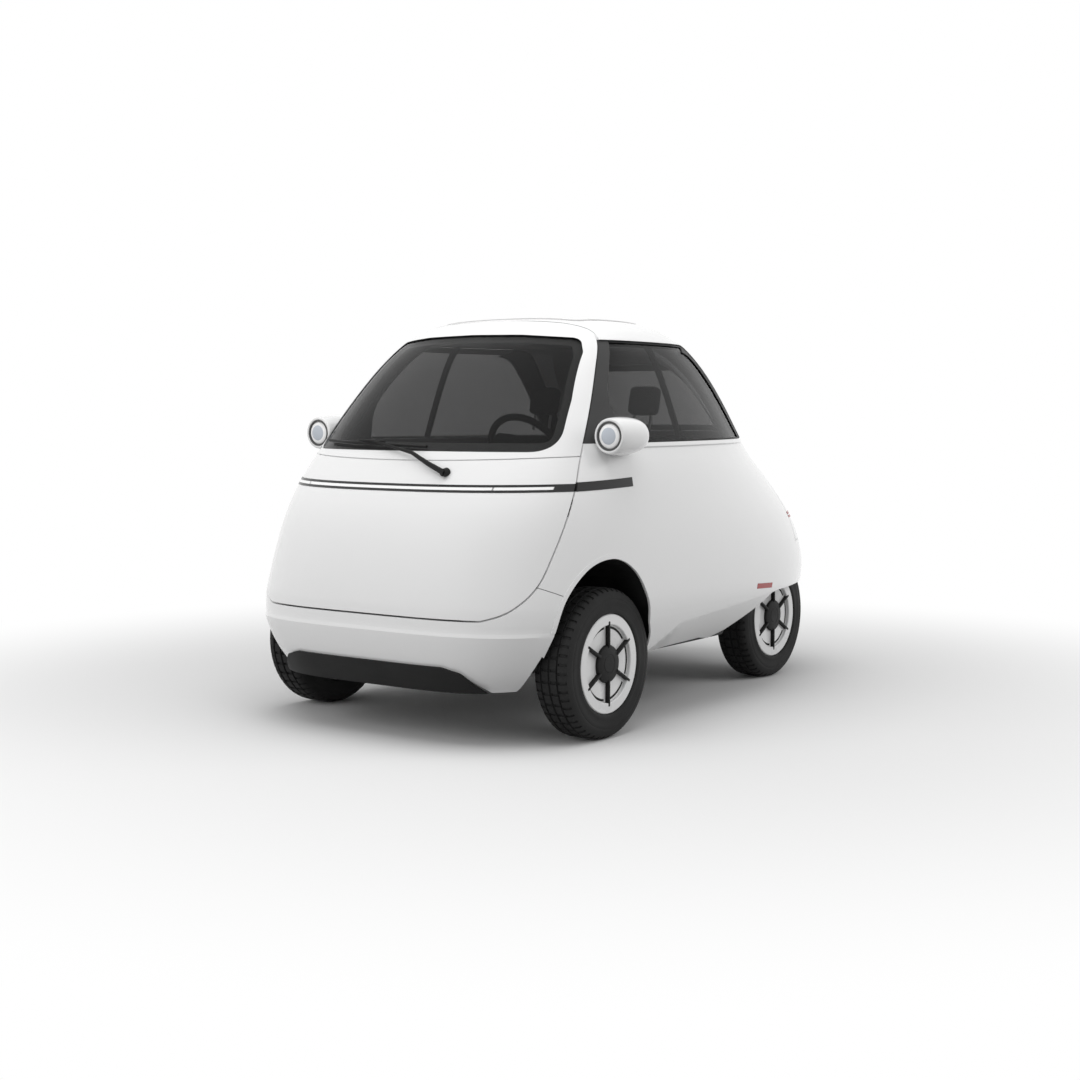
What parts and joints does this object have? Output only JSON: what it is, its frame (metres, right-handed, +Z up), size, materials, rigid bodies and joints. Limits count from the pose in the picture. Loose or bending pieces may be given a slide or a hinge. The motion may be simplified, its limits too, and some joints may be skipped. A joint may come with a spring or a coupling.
{
  "type": "microcar",
  "caption": "Small two-seat city car with an egg-shaped body, a single front door, a lifting tailgate, a wide front track and a narrow rear track.",
  "frame": {"origin": "on the ground, under the middle of the car's length and width", "axes": "+X to the car's left, -Y the way it drives, +Z up"},
  "size_m": [1.518, 2.5156, 1.5103],
  "materials": {
    "paint": "gloss white",
    "roof_cover": "pale woven roof cover",
    "glass": "dark tinted",
    "lens": "clear, pale",
    "mirror": "silvered",
    "strip": "dark gloss strip",
    "red_lens": "deep red gloss",
    "black_trim": "black, matt",
    "dark_trim": "dark grey, matt",
    "steel": "plain steel",
    "plate": "blank panel",
    "floor": "dark, satin",
    "battery": "grey case",
    "motor": "cast",
    "seat": "dark woven",
    "cast": "dark, painted",
    "rim": "white with dark centre",
    "tyre": "black"
  },
  "bodies": {
    "chassis": {"side_panel_left": "paint", "side_panel_right": "paint", "roof_panel": "paint", "sunroof": "roof_cover", "front_bumper": "paint", "grille": "black_trim", "rear_bumper": "paint", "plate_holder": "plate", "hinge_pins": "steel", "side_windows": "glass", "quarter_panels": "dark_trim", "lamp_pods": "paint", "headlight_lenses": "lens", "mirror_glasses": "mirror", "side_strips": "strip", "side_markers": "red_lens", "floor_pan": "floor", "front_liners": "black_trim", "rear_liners": "black_trim", "battery_box": "battery", "motor": "motor", "seat_cushion": "seat", "seat_back": "seat", "seat_frame": "steel", "headrests": "seat", "steering_column": "dark_trim", "front_axle": "cast", "rear_axle": "cast"},
    "door": {"front_door": "paint", "windscreen": "glass", "light_bar": "strip", "wiper": "black_trim", "door_dash": "dark_trim", "door_hinge_arms": "steel"},
    "lid": {"tailgate": "paint", "rear_window": "glass", "rear_light_bar": "red_lens", "tailgate_hinge_arms": "steel"},
    "steering": {"steering_wheel": "dark_trim"},
    "steer_left": {"knuckle_left": "cast"},
    "steer_right": {"knuckle_right": "cast"},
    "roll_front_left": {"wheel_front_left": "rim", "tyre_front_left": "tyre"},
    "roll_front_right": {"wheel_front_right": "rim", "tyre_front_right": "tyre"},
    "roll_rear_left": {"wheel_rear_left": "rim", "tyre_rear_left": "tyre"},
    "roll_rear_right": {"wheel_rear_right": "rim", "tyre_rear_right": "tyre"}
  },
  "joints": [
    {"name": "door_swing", "type": "hinge", "parent": "chassis", "child": "door", "pos_m": [0.65024, -0.8596, 0.766], "axis": [0, 0, 1], "range_deg": [0, 75]},
    {"name": "tailgate_lift", "type": "hinge", "parent": "chassis", "child": "lid", "pos_m": [0, 0.2084, 1.479], "axis": [1, 0, 0], "range_deg": [0, 70]},
    {"name": "steer_left", "type": "hinge", "parent": "chassis", "child": "steer_left", "pos_m": [0.6, -0.749, 0.2665], "axis": [0, 0, 1], "range_deg": [-25, 25]},
    {"name": "steer_right", "type": "hinge", "parent": "chassis", "child": "steer_right", "pos_m": [-0.6, -0.749, 0.2665], "axis": [0, 0, 1], "range_deg": [-25, 25]},
    {"name": "steering_turn", "type": "hinge", "parent": "chassis", "child": "steering", "pos_m": [0.25, -0.6136, 0.99], "axis": [0, 0.866, 0.5], "range_deg": [-350, 350]},
    {"name": "spin_front_left", "type": "hinge", "parent": "steer_left", "child": "roll_front_left", "pos_m": [0.636, -0.749, 0.2665], "axis": [1, 0, 0], "continuous": true},
    {"name": "spin_front_right", "type": "hinge", "parent": "steer_right", "child": "roll_front_right", "pos_m": [-0.636, -0.749, 0.2665], "axis": [1, 0, 0], "continuous": true},
    {"name": "spin_rear_left", "type": "hinge", "parent": "chassis", "child": "roll_rear_left", "pos_m": [0.445, 0.818, 0.2665], "axis": [1, 0, 0], "continuous": true},
    {"name": "spin_rear_right", "type": "hinge", "parent": "chassis", "child": "roll_rear_right", "pos_m": [-0.445, 0.818, 0.2665], "axis": [1, 0, 0], "continuous": true}
  ],
  "couplings": [
    {"joint": "steer_right", "follows": "steer_left", "ratio": 1},
    {"joint": "steering_turn", "follows": "steer_left", "ratio": 14}
  ]
}
